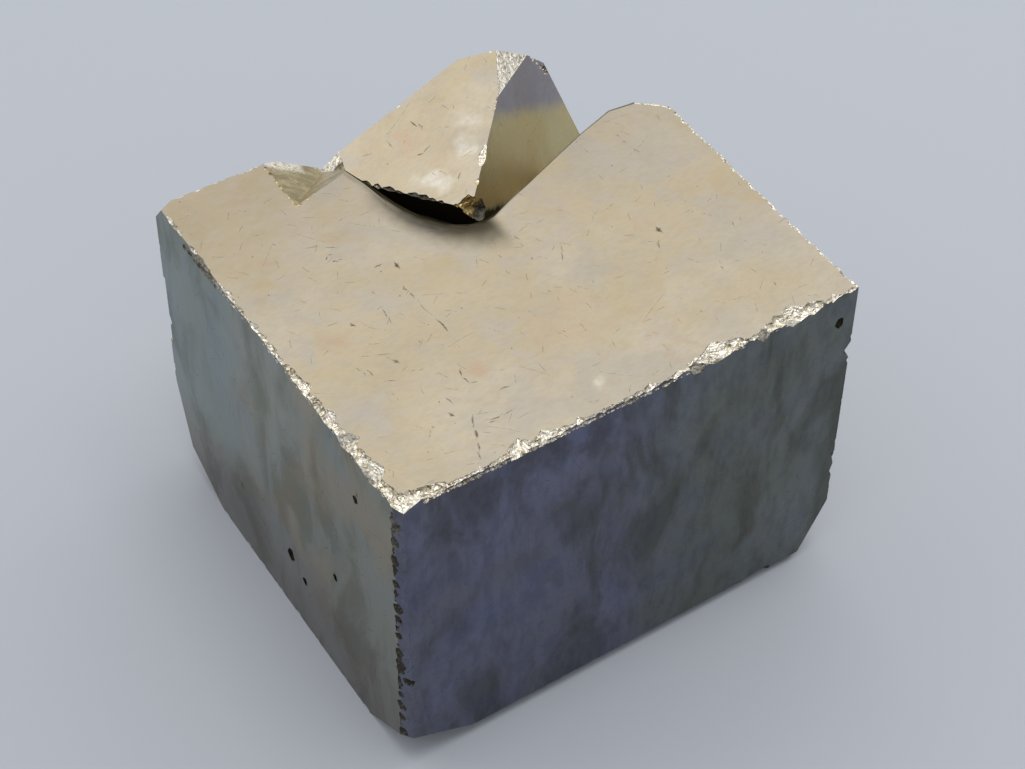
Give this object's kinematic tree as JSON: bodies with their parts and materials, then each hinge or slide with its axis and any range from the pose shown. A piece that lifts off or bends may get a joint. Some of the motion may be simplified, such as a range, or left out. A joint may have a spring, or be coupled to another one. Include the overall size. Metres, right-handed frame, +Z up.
{
  "type": "pyrite crystal specimen",
  "caption": "Large, slightly worn pyrite cube with a small tilted cube grown into a recess at the back of its top.",
  "frame": {"origin": "bottom centre of the specimen's bounding box, on the plane it rests on", "axes": "+Z up out of the top face; +X to the right along the front face; +Y from the front face to the back, where the small crystal stands"},
  "size_m": [0.0522, 0.0476, 0.0424],
  "materials": {
    "pyrite": "pale brass metallic lustre, softly polished, with fine growth marks, small pits and bright fresh chips"
  },
  "bodies": {
    "root": {"pyrite_cube": "pyrite"}
  },
  "joints": []
}
